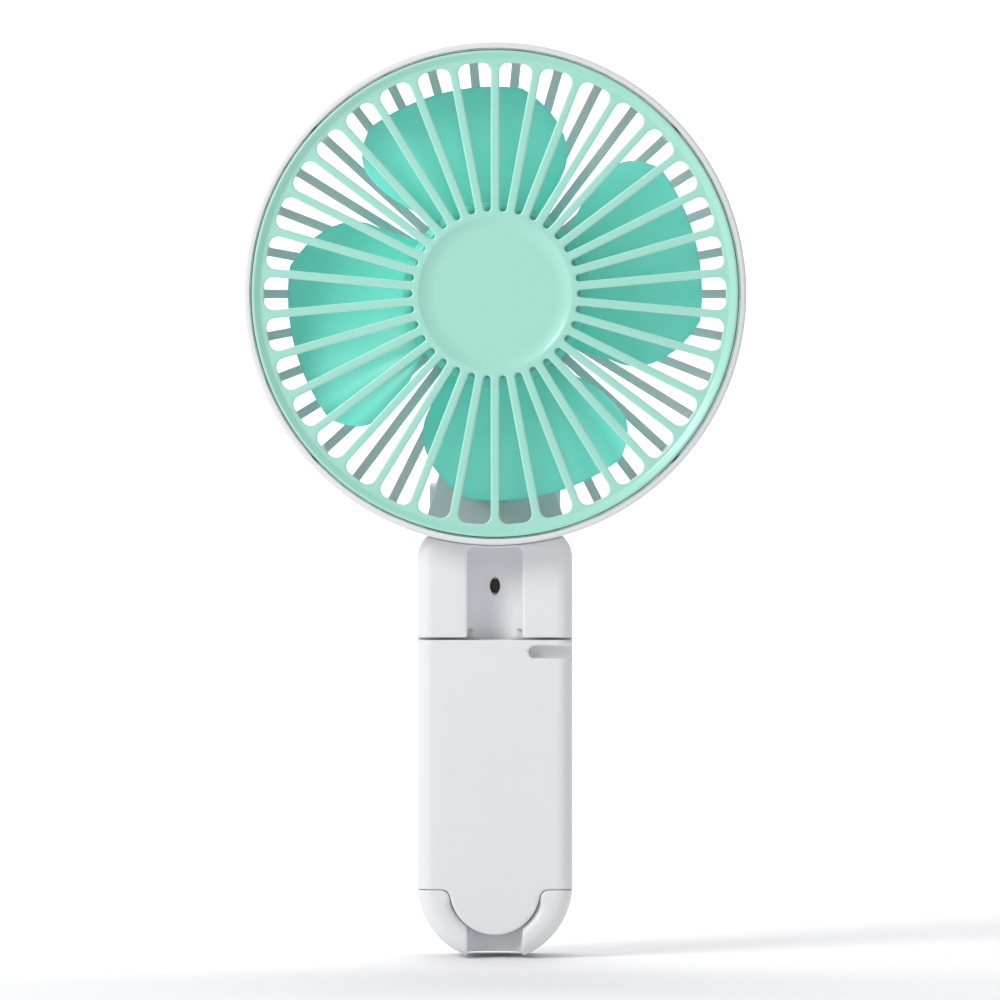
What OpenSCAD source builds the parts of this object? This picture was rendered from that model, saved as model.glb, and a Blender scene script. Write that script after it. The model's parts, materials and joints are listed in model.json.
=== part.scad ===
// Folding hand fan: round caged head, pocket handle with a channel, fold-out leg.
// Frame: +Z up, front towards -Y, +X to the right, z = 0 at the tips of the claws.

/* [Head] */
// Outside diameter of the fan head
head_d = 110; // [108:0.5:111]
// Height of the head's centre above the claw tips
head_z = 145.6; // [145:0.1:146.5]
// Front plane of the head, measured along Y
head_front = -16.5; // [-17:0.1:-16]
// Rear plane of the head, measured along Y
head_rear = 9.5; // [9.3:0.1:9.6]
// Number of spokes in each grille
spokes = 34; // [24:2:40]
// Width of a front spoke
spoke_w = 1.85; // [1.4:0.05:2.2]
// Outside diameter of the coloured front grille
grille_d = 106.9; // [106:0.1:107]
// Diameter of the grille's centre disc
disc_d = 36; // [32:1:38]

/* [Impeller] */
// Number of blades
blades = 4; // [3:1:4]
// Diameter over the blade tips
blade_d = 91.2; // [84:0.2:93]
// Diameter of the impeller hub
hub_d = 40.4; // [40:0.1:41]
// Angle of the blades to the plane of rotation
blade_pitch = 15; // [10:1:16]
// Thickness of a blade
blade_t = 1.3; // [1:0.1:1.8]
// Diameter of the motor shaft
shaft_d = 2; // [1.8:0.1:2.4]

/* [Handle] */
// Width of the handle
handle_w = 34.1; // [34:0.1:35]
// Radius of the handle's long edges
edge_r = 3.5; // [3:0.1:4]
// Wall thickness of the shells
wall = 1.75; // [1.5:0.05:1.8]
// Width of the channel down the handle's front
channel_w = 12.1; // [11.8:0.1:12.4]
// Plane between the chassis and the back cover
split_y = 7; // [6.5:0.1:7.5]
// Top of the back cover
cover_top = 84; // [83:0.5:85]

/* [Leg] */
// Bottom of the leg's shoulders
leg_z0 = 14.75; // [14.5:0.05:15]
// Top of the leg
leg_z1 = 69.6; // [69.5:0.05:69.6]
// Thickness of the leg
leg_t = 5; // [4.8:0.1:5]
// Radius of the leg's round tongue
tongue_r = 9.95; // [9.5:0.05:10]

/* [Joints] */
// Height of the head's fold axis
fold_z = 100.6; // [100.5:0.05:100.8]
// Distance of the fold axis along Y
fold_y = 13.25; // [13.2:0.05:13.3]
// Diameter of the fold pin
fold_pin_d = 2.4; // [2:0.1:2.6]
// Radial room around a turning pin
running_gap = 0.05; // [0.02:0.01:0.08]

/* [Hidden] */
$fn = 96;
far = 30;                       // reaches past the part from its middle
gap = 0.2;                      // seam between neighbouring shells
fit = 0.05;                     // room around a seated piece
head_r = head_d / 2;
grille_r = grille_d / 2;
disc_r = disc_d / 2;
hub_r = hub_d / 2;
tip_r = blade_d / 2;
shaft_r = shaft_d / 2;
pitch = 360 / spokes;
grille_ring = 3.15;             // width of the grille's outer ring
grille_t = 2.2;                 // depth of the grille's spokes
skirt_t = 1;                    // grille skirt that plugs into the housing
housing_wall = 1.35;
rear_corner = 3.6;              // round at the housing's rear edge
seam_z = head_rear - rear_corner; // seam between the rim and the rear housing
spigot_r = head_r - housing_wall - 0.1;
spigot_t = 1;
rim_step = 0.6;                 // the housing's rim lies this far behind the grille
rear_open_r = 51.2;             // outer end of the rear openings
rear_hub_r = 20.5;              // rear motor seat
rear_spoke_w = 2;
rear_t = 2.2;
pad_half = 15.4;                // half angle of the solid pad behind the hinge
pad_r = 38.5;
handle_back = -head_front;      // the body is centred on Y
handle_front = -8;
half_w = handle_w / 2;
channel_r = channel_w / 2;
channel_y = handle_front + 1;   // centre of the channel's round floor
bottom_z = sqrt(half_w * half_w - channel_r * channel_r); // claw tips land on z = 0
floor_z = 0.9;                  // underside of the handle behind the channel
shoulder_r = 6;                 // top corners of the handle
shoulder_z = 93.6;
lip_t = 0.5;                    // lip of the saddle across the channel's top
neck_z = 81.3;                  // neck screw and the oval hole in front of it
neck_y = 0.8;
eye_r = 1.96;
eye_off = 1.06;
saddle_r = head_r + 0.2;        // top of the handle follows the rim
leg_back = handle_front + leg_t;
leg_axis = [-4.2, 67.2];        // leg hinge in Y, Z
leg_pin_r = 0.8;
leg_lug = [3.9, 6.6];           // inner and outer face of each leg lug
leg_lug_r = 1.9;
slot_h = 2.65;                  // lanyard slot
slot_z = 66.95;
slot_x = 8.7;
slot_y = -4.6;
cavity_x = half_w - wall;
cavity_y0 = 0.7;
cavity_y1 = handle_back - 1.6;
cavity_z0 = 4;
cavity_z1 = 82;
ear = [7.4, 14.5];              // inner and outer face of each ear
ear_y = 10;
knuckle = 6.8;                  // half length of the head's knuckle
fold_r = 3.25;                  // round of the knuckle and the ears
fold_pin_r = fold_pin_d / 2;
cap_r = 2.2;
cap_t = 1;
motor_cap_r = 12;
tube_r = 3;                     // motor bearing tube
bearing_r = 2;
stator_r = 10.4;
magnet = [10.8, 12.2];
can_r = 13;
poles = 9;
motor_screw_r = 8;
button_r = 4.5;
button_z = 60;
button_travel = 0.6;
light_z = 71;
light_r = 1;
port = [9.3, 3.5];              // charging port's width and depth
port_y = 10.2;
board_y = 11.9;
board_t = 1.2;
cover_screws = [[-11.5, 78], [11.5, 78], [-11.5, 9.5], [11.5, 9.5]];
screw_r = 1;
screw_head_r = 1.9;
rim_screw_r = 52;               // screws that hold the grille to the housing
rim_shank_r = 0.75;
rim_head_r = 1.25;
rim_seat = 6.9;
rim_post_r = 1.75;
boss_end = head_front + 4.5;    // rear end of the grille's skirt and screw bosses
rim_floor = 1.2;                // plastic in front of a rim screw's tip
seat_depth = 1.6;               // depth of the screw seats in the handle's back and the motor seat
hinge_screw = [1.9, 2.2];       // hinge screws: distance from the middle, length in the block
disc_step = [14.3, 16.7, 0.9];  // soft step in the centre disc: radii and depth

white = [0.9, 0.905, 0.92];
mint = [0.67, 0.91, 0.84];
aqua = [0.42, 0.83, 0.75];
steel = [0.72, 0.73, 0.75];
brass = [0.8, 0.64, 0.3];

// ---------- helpers ----------

// The head's own frame: x right, y down, z to the rear, origin on the spin axis.
module at_head() translate([0, 0, head_z]) rotate([-90, 0, 0]) children();

module along_x(x0, x1, y, z) translate([x0, y, z]) rotate([0, 90, 0])
    linear_extrude(x1 - x0) children();

module along_y(y0, y1) translate([0, y1, 0]) rotate([90, 0, 0]) linear_extrude(y1 - y0) children();

module both_sides() {
    children();
    mirror([1, 0, 0]) children();
}

module box(x0, x1, y0, y1, z0, z1) translate([x0, y0, z0]) cube([x1 - x0, y1 - y0, z1 - z0]);

module ring(r0, r1, z0, z1) translate([0, 0, z0]) difference() {
    cylinder(r = r1, h = z1 - z0);
    translate([0, 0, -1]) cylinder(r = r0, h = z1 - z0 + 2);
}

module rounded(x0, x1, y0, y1, r) {
    translate([x0 + r, y0]) square([x1 - x0 - 2 * r, y1 - y0]);
    translate([x0, y0 + r]) square([x1 - x0, y1 - y0 - 2 * r]);
    for (x = [x0 + r, x1 - r], y = [y0 + r, y1 - r]) translate([x, y]) circle(r);
}

module spoke_fan(from, r0, r1, w, z0, z1) for (i = [0 : spokes - 1])
    rotate(from + i * pitch) translate([r0, -w / 2, z0]) cube([r1 - r0, w, z1 - z0]);

module sector(half, r) polygon([[0, 0], for (s = [-1, -0.5, 0, 0.5, 1])
    2 * r * [cos(90 + s * half), sin(90 + s * half)]]);

module screw(head_r, head_t, r, length) {
    slot_w = 0.5;
    cylinder(r = r, h = length);
    difference() {
        translate([0, 0, -head_t]) cylinder(r = head_r, h = head_t);
        for (a = [0, 90]) rotate(a) translate([-head_r * 0.6, -slot_w / 2, -head_t - 1])
            cube([head_r * 1.2, slot_w, 1 + head_t / 2]);
    }
}

// ---------- head ----------

// Section of the rear housing's rim: a round corner, a flange and a spigot that enters the rim ring.
module rear_profile() {
    corner_r = head_r - rear_corner;
    difference() {
        union() {
            translate([corner_r, seam_z]) circle(rear_corner);
            translate([rear_open_r, seam_z]) square([corner_r - rear_open_r, rear_corner]);
        }
        translate([corner_r, seam_z]) circle(rear_corner - housing_wall);
        translate([0, seam_z - far]) square([corner_r, far + rear_corner - housing_wall]);
        translate([0, seam_z - far]) square([2 * head_r, far]);
        square([rear_open_r, 2 * rear_corner + seam_z]);
    }
    translate([spigot_r - spigot_t, seam_z - 1]) square([spigot_t, 2.8]);
}

module at_rim_screws() for (s = [-3, -1, 1, 3])
    rotate(90 + (round(s * spokes / 8 - 0.5) + 0.5) * pitch) translate([rim_screw_r, 0, 0]) children();

module at_motor_screws() for (a = [0, 120, 240]) rotate(a) translate([motor_screw_r, 0, 0]) children();

module at_hinge_screws() for (x = [-1, 1]) translate([x * hinge_screw[0], head_z - fold_z, 0]) children();

module rear_housing() color(white) at_head() difference() {
    union() {
        rotate_extrude() rear_profile();
        spoke_fan(90 + pitch / 2, rear_hub_r - 1, rear_open_r + 0.4, rear_spoke_w,
            head_rear - rear_t, head_rear - 0.1);
        ring(tube_r + fit, rear_hub_r, head_rear - rear_t - 0.1, head_rear);
        ring(tube_r + fit, 14, head_rear - 3.4, head_rear - 1);
        intersection() {
            ring(pad_r, rear_open_r + 0.1, head_rear - rear_t + 0.1, head_rear - 0.2);
            translate([0, 0, head_rear - 5]) linear_extrude(10) sector(pad_half, 40);
        }
        intersection() {
            at_rim_screws() translate([0, 0, seam_z - 0.9]) cylinder(r = rim_post_r, h = 3.9);
            cylinder(r = spigot_r - 0.15, h = far);
        }
    }
    translate([0, 0, head_rear - seat_depth]) cylinder(r = motor_cap_r + 0.1, h = 2);
    at_motor_screws() cylinder(r = screw_r, h = far);
    at_hinge_screws() cylinder(r = screw_r, h = far);
    at_rim_screws() {
        cylinder(r = rim_shank_r + 0.1, h = far);
        translate([0, 0, rim_seat]) cylinder(r = rim_head_r + 0.1, h = far);
    }
}

module rim_ring() color(white) at_head() difference() {
    union() {
        ring(head_r - housing_wall, head_r, head_front + rim_step, seam_z - 0.1);
        at_rim_screws() translate([0, 0, boss_end + 0.1]) {
            cylinder(r = 1.3, h = seam_z - 1.2 - boss_end);
            translate([0.2, -1, 0]) cube([2, 2, seam_z - 1.2 - boss_end]);
        }
    }
    at_rim_screws() translate([0, 0, head_front]) cylinder(r = rim_shank_r + 0.1, h = far);
}

module front_grille() color(mint) at_head() difference() {
    union() {
        ring(grille_r - grille_ring, grille_r, head_front, head_front + grille_t + 1);
        ring(grille_r - skirt_t - 0.15, grille_r - 0.15, head_front + 2, boss_end);
        spoke_fan(90, disc_r - 1, grille_r - grille_ring + 1, spoke_w,
            head_front + 1, head_front + 0.8 + grille_t);
        translate([0, 0, head_front + disc_step[2]]) rotate_extrude() polygon([
            [0, disc_step[2]], [disc_step[0], disc_step[2]], [disc_step[1], 0],
            [disc_r, 0], [disc_r, grille_t], [0, grille_t]]);
        at_rim_screws() translate([0, 0, head_front + 2.4])
            cylinder(r = 1.3, h = boss_end - head_front - 2.6);
    }
    at_rim_screws() translate([0, 0, head_front + rim_floor]) cylinder(r = rim_shank_r, h = far);
}

module rim_screws() color(steel) at_head() at_rim_screws() translate([0, 0, rim_seat])
    rotate([180, 0, 0]) screw(rim_head_r, 0.7, rim_shank_r, rim_seat - head_front - rim_floor - 0.3);

module hinge_block() color(white) at_head() difference() {
    union() {
        along_x(-knuckle, knuckle, head_z - fold_z, fold_y) circle(fold_r);
        box(-knuckle, knuckle, head_z - fold_z - fold_r, head_z - fold_z + fold_r, head_rear - 0.1, fold_y);
    }
    along_x(-far, far, head_z - fold_z, fold_y) circle(fold_pin_r + running_gap);
    at_hinge_screws() cylinder(r = screw_r - 0.1, h = head_rear + hinge_screw[1]);
}

module hinge_screws() color(steel) at_head() at_hinge_screws() translate([0, 0, head_rear - rear_t + 0.1])
    screw(screw_head_r - 0.7, 0.6, screw_r - 0.1, rear_t - 0.2 + hinge_screw[1]);

module motor_cap() color(white) at_head() {
    translate([0, 0, head_rear - 1]) cylinder(r = motor_cap_r, h = 1);
    ring(motor_cap_r - 1, motor_cap_r, head_rear - seat_depth, head_rear - 0.9);
}

module motor_screws() color(steel) at_head() at_motor_screws() translate([0, 0, head_rear - seat_depth])
    rotate([180, 0, 0]) screw(screw_head_r - 0.4, 0.5, screw_r - 0.1, 4);

module bearing_tube() color(brass) at_head() ring(bearing_r, tube_r, -6, head_rear - seat_depth);
module front_bearing() color("tan") at_head() ring(shaft_r + 0.02, bearing_r, -6, -3);
module rear_bearing() color("tan") at_head() ring(shaft_r + 0.02, bearing_r, 3.4, 6.4);

module stator_core() color(steel) at_head() difference() {
    translate([0, 0, -4]) union() {
        cylinder(r = 5, h = 6);
        for (i = [0 : poles - 1]) rotate(i * 360 / poles) {
            translate([4, -1, 0]) cube([stator_r - 5, 2, 6]);
            intersection() {
                ring(stator_r - 1, stator_r, 0, 6);
                translate([0, -2.4, 0]) cube([20, 4.8, 6]);
            }
        }
    }
    translate([0, 0, -10]) cylinder(r = tube_r, h = 30);
}

module stator_coils() color([0.72, 0.4, 0.2]) at_head() for (i = [0 : poles - 1])
    rotate(i * 360 / poles) difference() {
        box(6, 9.2, -1.7, 1.7, -4.8, 2.8);
        box(5, 10, -1, 1, -4, 2);
    }

module motor_board() color([0.1, 0.35, 0.2]) at_head() difference() {
    ring(tube_r, 12.5, 4, 5);
    at_motor_screws() cylinder(r = screw_r - 0.1, h = far);
}

module motor_lead() color([0.25, 0.25, 0.27]) at_head() for (x = [-0.9, 0, 0.9])
    box(x - 0.35, x + 0.35, 11.5, pad_r + 3, 5.1, 5.8);

// ---------- impeller ----------

// Blade outline in polar form: one bulged edge and one raked edge, [radius, angle].
bulge_r = 33.5;
rake_r = 28.6;
function bulge(r) = 42.3 + (r > bulge_r
    ? 10.7 * pow((r - bulge_r) / (tip_r - bulge_r), 3)
    : 9 * pow((bulge_r - r) / 14, 2));
function rake(r) = 119.7 + (r < rake_r
    ? 5.3 * (rake_r - r) / 8.3
    : -22.1 * pow((r - rake_r) / (tip_r - rake_r), 2.2));
blade_mid = 83;                 // angle of the blade's radial axis
radii = [for (i = [0 : 10]) 19.6 + (tip_r - 19.6) * i / 10];
function on_plate(r, a) = [-r * sin(a - blade_mid) / cos(blade_pitch), r * cos(a - blade_mid)];

module blade() rotate(blade_mid - 90) rotate([0, blade_pitch, 0]) translate([0, 0, -blade_t / 2])
    linear_extrude(blade_t) polygon(concat(
        [for (r = radii) on_plate(r, bulge(r))],
        [for (i = [1 : 7]) on_plate(tip_r, bulge(tip_r) + (rake(tip_r) - bulge(tip_r)) * i / 8)],
        [for (i = [10 : -1 : 0]) on_plate(radii[i], rake(radii[i]))]));

module impeller() color(aqua) at_head() difference() {
    union() {
        translate([0, 0, -11.5]) rotate_extrude() polygon([
            [0, 0], [hub_r - 1.4, 0], [hub_r, 1.4], [hub_r, 15.5], [hub_r - 1.4, 15.5],
            [hub_r - 1.4, 2.9], [14.6, 1.6], [14.6, 9.5], [can_r, 9.5], [can_r, 1.6], [0, 1.6]]);
        intersection() {
            translate([0, 0, -3.5]) for (i = [0 : blades - 1]) rotate(i * 360 / blades) blade();
            ring(hub_r - 0.7, tip_r, -12, 6);
        }
    }
    translate([0, 0, -13]) cylinder(r = shaft_r, h = 6);
}

module rotor_can() color(steel) at_head() difference() {
    union() {
        ring(magnet[1], can_r, -9.9, 3);
        translate([0, 0, -9.9]) cylinder(r = magnet[1] + 0.4, h = 0.9);
        translate([0, 0, -9]) cylinder(r = 2.4, h = 1.8);
    }
    translate([0, 0, -20]) cylinder(r = shaft_r, h = 40);
}

module magnet_ring() color([0.25, 0.25, 0.27]) at_head() ring(magnet[0], magnet[1], -6, 3);
module motor_shaft() color(steel) at_head() translate([0, 0, -11.2]) cylinder(r = shaft_r, h = 18.6);
module shaft_clip() color("dimgray") at_head() ring(shaft_r, shaft_r + 0.8, 6.6, 7);

// ---------- handle ----------

module handle_face() {
    translate([0, bottom_z]) circle(half_w);
    translate([-half_w, bottom_z]) square([handle_w, shoulder_z - shoulder_r - bottom_z]);
    inner_w = half_w - shoulder_r;
    translate([-inner_w, bottom_z]) square([2 * inner_w, shoulder_z - bottom_z]);
    for (s = [-1, 1]) translate([s * inner_w, shoulder_z - shoulder_r]) circle(shoulder_r);
}

// Plain bar with the handle's section, longer than the handle.
module handle_bar() translate([0, 0, -5]) linear_extrude(120)
    rounded(-half_w, half_w, handle_front, handle_back, edge_r);

module handle_blank() intersection() {
    handle_bar();
    along_y(handle_front - 1, handle_back + 1) handle_face();
}

module fold_ears() both_sides() {
    along_x(ear[0], ear[1], fold_y, fold_z) circle(fold_r);
    box(ear[0], ear[1], ear_y, fold_y + fold_r, cover_top, fold_z);
}

module leg_lugs() both_sides() {
    along_x(leg_lug[0], leg_lug[1], leg_axis[0], leg_axis[1]) circle(leg_lug_r);
    box(leg_lug[0], leg_lug[1], leg_axis[0], 0, leg_axis[1] - leg_lug_r, leg_axis[1] + leg_lug_r);
}

module leg_room() {
    box(-half_w - 1, half_w + 1, handle_front - 1, leg_back + gap, leg_z0 - gap, leg_z1 + gap);
    along_y(handle_front - 1, leg_back + gap) translate([0, leg_z0]) circle(tongue_r + 0.3);
    intersection() {
        along_x(-half_w - 1, half_w + 1, leg_axis[0], leg_axis[1])
            circle(norm([handle_front - leg_axis[0], leg_z1 - leg_axis[1]]) + gap);
        box(-30, 30, handle_front - 1, leg_back + 1, 60, 80);
    }
    along_x(-half_w - 1, half_w + 1, leg_axis[0], leg_axis[1])
        circle(norm([leg_back - leg_axis[0], leg_z1 - leg_axis[1]]) + gap);
}

module cavity() translate([0, 0, cavity_z0]) linear_extrude(cavity_z1 - cavity_z0)
    rounded(-cavity_x, cavity_x, cavity_y0, cavity_y1, 1.75);

// Pointed-oval hole in the channel's floor, with the neck screw behind it.
module screw_eye() {
    along_y(-3, neck_y - 0.1) intersection() {
        translate([-eye_off, neck_z]) circle(eye_r);
        translate([eye_off, neck_z]) circle(eye_r);
    }
    along_y(neck_y - 0.2, neck_y + 0.8) translate([0, neck_z]) circle(1.6);
    along_y(neck_y + 0.7, 8) translate([0, neck_z]) circle(screw_r);
}

module chassis() color(white) difference() {
    union() {
        difference() {
            intersection() {
                handle_blank();
                union() {
                    box(-30, 30, handle_front - 1, split_y, -1, cover_top + 1);
                    box(-30, 30, handle_front - 1, handle_back + 1, cover_top, 120);
                }
            }
            leg_room();
            difference() {
                union() {
                    box(-channel_r, channel_r, handle_front - 1, channel_y, -5, 120);
                    translate([0, channel_y, -5]) cylinder(r = channel_r, h = 130);
                }
                translate([0, ear_y, head_z]) rotate([90, 0, 0]) cylinder(r = saddle_r + lip_t, h = 40);
            }
            box(-30, 30, channel_y + channel_r, 30, -5, floor_z);
            box(-30, 30, -30, 30, -5, 0);
            cavity();
        }
        difference() {
            fold_ears();
            cavity();
        }
        leg_lugs();
        along_y(0, 6) translate([0, neck_z]) circle(3);
        for (p = cover_screws) translate([p[0], cavity_y0 - 0.5, p[1]]) rotate([-90, 0, 0])
            cylinder(r = 2.2, h = split_y - cavity_y0 + 0.5);
    }
    translate([0, ear_y, head_z]) rotate([90, 0, 0]) cylinder(r = saddle_r, h = 40, $fn = 180);
    along_x(-30, 30, fold_y, fold_z) circle(fold_pin_r);
    both_sides() along_x(ear[1] - cap_t, 30, fold_y, fold_z) circle(cap_r);
    along_x(-30, 30, leg_axis[0], leg_axis[1]) circle(leg_pin_r + running_gap);
    screw_eye();
    for (p = cover_screws) translate([p[0], 1.7, p[1]]) rotate([-90, 0, 0]) cylinder(r = 0.9, h = 12);
}

module back_cover() color(white) difference() {
    union() {
        difference() {
            intersection() {
                handle_blank();
                box(-30, 30, split_y, handle_back + 1, floor_z, cover_top);
            }
            cavity();
        }
        for (p = cover_screws) translate([p[0], split_y, p[1]]) rotate([-90, 0, 0])
            cylinder(r = 2.6, h = handle_back - split_y - 1);
    }
    for (p = cover_screws) translate([p[0], 0, p[1]]) rotate([-90, 0, 0]) {
        cylinder(r = screw_r + 0.1, h = 30);
        translate([0, 0, handle_back - seat_depth]) cylinder(r = screw_head_r + 0.15, h = 5);
    }
    along_y(0, 30) translate([0, button_z]) circle(button_r + 0.05);
    along_y(0, 30) translate([0, light_z]) circle(light_r);
    translate([0, 0, -5]) linear_extrude(12) rounded(-port[0] / 2, port[0] / 2, port_y - port[1] / 2,
        port_y + port[1] / 2, port[1] / 2 - 0.01);
}

module fold_pin() color(steel)
    along_x(cap_t - ear[1], ear[1] - cap_t, fold_y, fold_z) circle(fold_pin_r);
module pin_caps() color("gainsboro") both_sides()
    along_x(ear[1] - cap_t, ear[1], fold_y, fold_z) circle(cap_r - fit);
module friction_washers() color("dimgray") both_sides()
    along_x(knuckle + fit, ear[0] - fit, fold_y, fold_z) difference() {
        circle(fold_r - 0.25);
        circle(fold_pin_r);
    }

module neck_screw() color("dimgray") translate([0, neck_y + 0.8, neck_z]) rotate([-90, 0, 0])
    screw(1.5, 0.8, screw_r, 4);

module cover_screws() color(steel) for (p = cover_screws) translate([p[0], handle_back - seat_depth, p[1]])
    rotate([90, 0, 0]) screw(screw_head_r, 0.9, screw_r - 0.1, 10);

module battery_cell() color([0.25, 0.45, 0.75]) translate([0, 0, 15]) linear_extrude(46)
    rounded(-13.5, 13.5, 1.6, 9.6, 1.2);
module battery_pad() color([0.2, 0.2, 0.22]) box(-10, 10, cavity_y0, 1.6, 20, 56);
module battery_lead() color("firebrick") for (x = [-1.5, 1.5])
    box(x - 0.5, x + 0.5, 6, board_y, 61, 62);
module main_board() color([0.1, 0.35, 0.2]) {
    box(-13, 13, board_y, board_y + board_t, 13, 75);
    box(-8, 8, board_y, board_y + board_t, 7, 13);
}
module usb_socket() color(steel) translate([0, 0, 1.4]) difference() {
    linear_extrude(7.6) rounded(-4.5, 4.5, board_y - 3.3, board_y, 1.6);
    translate([0, 0, -1]) linear_extrude(7) rounded(-4.1, 4.1, board_y - 2.9, board_y - 0.4, 1.2);
}
module tact_switch() color("dimgray")
    box(-3, 3, board_y + board_t, board_y + board_t + 0.5, button_z - 3, button_z + 3);
module charge_light() color("lime") translate([0, board_y + board_t, light_z])
    box(-0.8, 0.8, 0, 0.6, -0.8, 0.8);
module light_guide() color("white") along_y(board_y + board_t + 0.7, handle_back - fit)
    translate([0, light_z]) circle(light_r);
module latch_plate() color(steel) box(-3.5, 3.5, cavity_y0, cavity_y0 + 0.8, 16.5, 19.8);

// ---------- leg ----------

module leg_face() {
    translate([-half_w, leg_z0]) square([handle_w, leg_z1 - leg_z0]);
    translate([0, leg_z0]) circle(tongue_r);
}

module leg_shell() color(white) difference() {
    intersection() {
        handle_bar();
        along_y(handle_front, leg_back) leg_face();
    }
    box(-13.5, 13.5, handle_front + 1.7, leg_back + 1, 17, 61);
    both_sides() box(leg_lug[0] - 0.3, leg_lug[1] + 0.3, leg_axis[0] - leg_lug_r - gap, 5,
        leg_axis[1] - leg_lug_r - gap, 80);
    along_x(-9, 9, leg_axis[0], leg_axis[1]) circle(leg_pin_r);
    along_y(handle_front - 1, slot_y) {
        translate([slot_x, slot_z]) circle(slot_h / 2);
        translate([slot_x, slot_z - slot_h / 2]) square([half_w, slot_h]);
    }
    box(-4.6, 4.6, leg_back - 0.8, leg_back + 1, 6.6, 12);
}

module leg_liner() color([0.75, 0.76, 0.78]) box(-13.5, 13.5, leg_back - 1, leg_back, 17, 61);
module leg_pin() color(steel) along_x(-9, 9, leg_axis[0], leg_axis[1]) circle(leg_pin_r);
module leg_magnet() color("silver") along_y(handle_front + 1.8, leg_back - 1 - fit)
    translate([0, 21]) circle(3);
module leg_pad() color([0.35, 0.36, 0.38]) box(-4.5, 4.5, leg_back - 0.8, leg_back, 6.7, 11.9);

module power_button() color([0.85, 0.86, 0.88]) {
    along_y(handle_back - 1.6, handle_back - 0.1) translate([0, button_z]) circle(button_r);
    along_y(handle_back - 2.2, handle_back - 1.6) translate([0, button_z]) circle(button_r + 0.7);
}

rear_housing();
rim_ring();
front_grille();
rim_screws();
hinge_block();
hinge_screws();
motor_cap();
motor_screws();
bearing_tube();
front_bearing();
rear_bearing();
stator_core();
stator_coils();
motor_board();
motor_lead();
impeller();
rotor_can();
magnet_ring();
motor_shaft();
shaft_clip();
chassis();
back_cover();
fold_pin();
pin_caps();
friction_washers();
neck_screw();
cover_screws();
battery_cell();
battery_pad();
battery_lead();
main_board();
usb_socket();
tact_switch();
charge_light();
light_guide();
latch_plate();
leg_shell();
leg_liner();
leg_pin();
leg_magnet();
leg_pad();
power_button();
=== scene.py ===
"""Looks for a folding hand fan: caged head, impeller, pocket handle and fold-out leg.

Lengths are in millimetres and become metres in add_mesh(). Head pieces are made in the head's own
axes, x right, y down, z to the rear, and placed by from_head().
"""

import json
import math

import bmesh
import bpy
import numpy as np
import openvdb
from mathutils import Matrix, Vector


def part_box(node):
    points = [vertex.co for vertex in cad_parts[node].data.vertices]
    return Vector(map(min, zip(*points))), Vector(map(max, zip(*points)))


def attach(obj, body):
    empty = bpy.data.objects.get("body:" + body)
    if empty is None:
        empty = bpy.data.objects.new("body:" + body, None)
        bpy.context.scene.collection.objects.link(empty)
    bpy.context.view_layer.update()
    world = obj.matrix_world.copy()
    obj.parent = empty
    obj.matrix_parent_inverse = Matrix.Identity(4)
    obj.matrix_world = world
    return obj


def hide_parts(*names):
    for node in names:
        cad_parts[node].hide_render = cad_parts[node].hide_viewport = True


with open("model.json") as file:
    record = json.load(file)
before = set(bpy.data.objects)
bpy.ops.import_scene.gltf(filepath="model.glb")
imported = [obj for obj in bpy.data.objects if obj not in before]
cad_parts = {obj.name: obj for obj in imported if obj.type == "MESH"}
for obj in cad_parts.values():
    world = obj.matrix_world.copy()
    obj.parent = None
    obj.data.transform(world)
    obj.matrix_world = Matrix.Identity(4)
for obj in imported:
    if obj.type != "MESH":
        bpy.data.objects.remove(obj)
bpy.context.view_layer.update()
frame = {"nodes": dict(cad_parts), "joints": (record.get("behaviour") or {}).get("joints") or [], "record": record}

MM = 0.001
JOINTS = {j["name"]: j for j in frame["joints"]}


def node_box(node):
    """A CAD node's lowest and highest corner, in millimetres."""
    low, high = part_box(node)
    return np.array(low) / MM, np.array(high) / MM


# ---------- sizes from the frame ----------

HEAD_Z = JOINTS["impeller_spin"]["pos_m"][2] / MM
FOLD_Y, FOLD_Z = (v / MM for v in JOINTS["head_fold"]["pos_m"][1:])
LEG_AXIS_Y, LEG_AXIS_Z = (v / MM for v in JOINTS["leg_swing"]["pos_m"][1:])
CHASSIS_LOW, CHASSIS_HIGH = node_box("chassis")
COVER_TOP = node_box("back_cover")[1][2]
LEG_HIGH = node_box("leg_shell")[1]
BUTTON_LOW, BUTTON_HIGH = node_box("power_button")
RING_LOW, RING_HIGH = node_box("rim_ring")
GRILLE_LOW, GRILLE_HIGH = node_box("front_grille")
HEAD_FRONT, SKIRT_END = GRILLE_LOW[1], GRILLE_HIGH[1]
HEAD_REAR = node_box("motor_cap")[1][1]
HALF_W = CHASSIS_HIGH[0]
FRONT = CHASSIS_LOW[1]
BACK = CHASSIS_HIGH[1]

# ---------- sizes of the head ----------

HEAD_R = 55.0
RIM_FRONT, SEAM = RING_LOW[1], RING_HIGH[1]
REAR_CORNER = 3.6
FLANGE_R = HEAD_R - REAR_CORNER
SPOKES = 34
PITCH = 2 * math.pi / SPOKES
DOWN = math.pi / 2
GRILLE_R = GRILLE_HIGH[0]
OPENING_IN, OPENING_OUT = 18.0, 50.5
SPOKE_W = 1.85
SPOKE_FRONT, SPOKE_BACK = HEAD_FRONT + 0.95, HEAD_FRONT + 3.1
DISC_STEP = (13.2, 16.8, 0.9)
HOUSING_WALL = 1.35
SPIGOT_R = HEAD_R - HOUSING_WALL - 0.1
REAR_IN, REAR_OUT = 20.7, 51.2
REAR_SPOKE_W = 2.0
REAR_T = 2.2
RIM_SCREW_R = 52.0
SHANK_R = 0.85
POST_R = 1.45
RIM_SEAT = node_box("rim_screws")[1][1] - 0.7
PAD_R, PAD_HALF = 38.4, math.radians(15.4)
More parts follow.
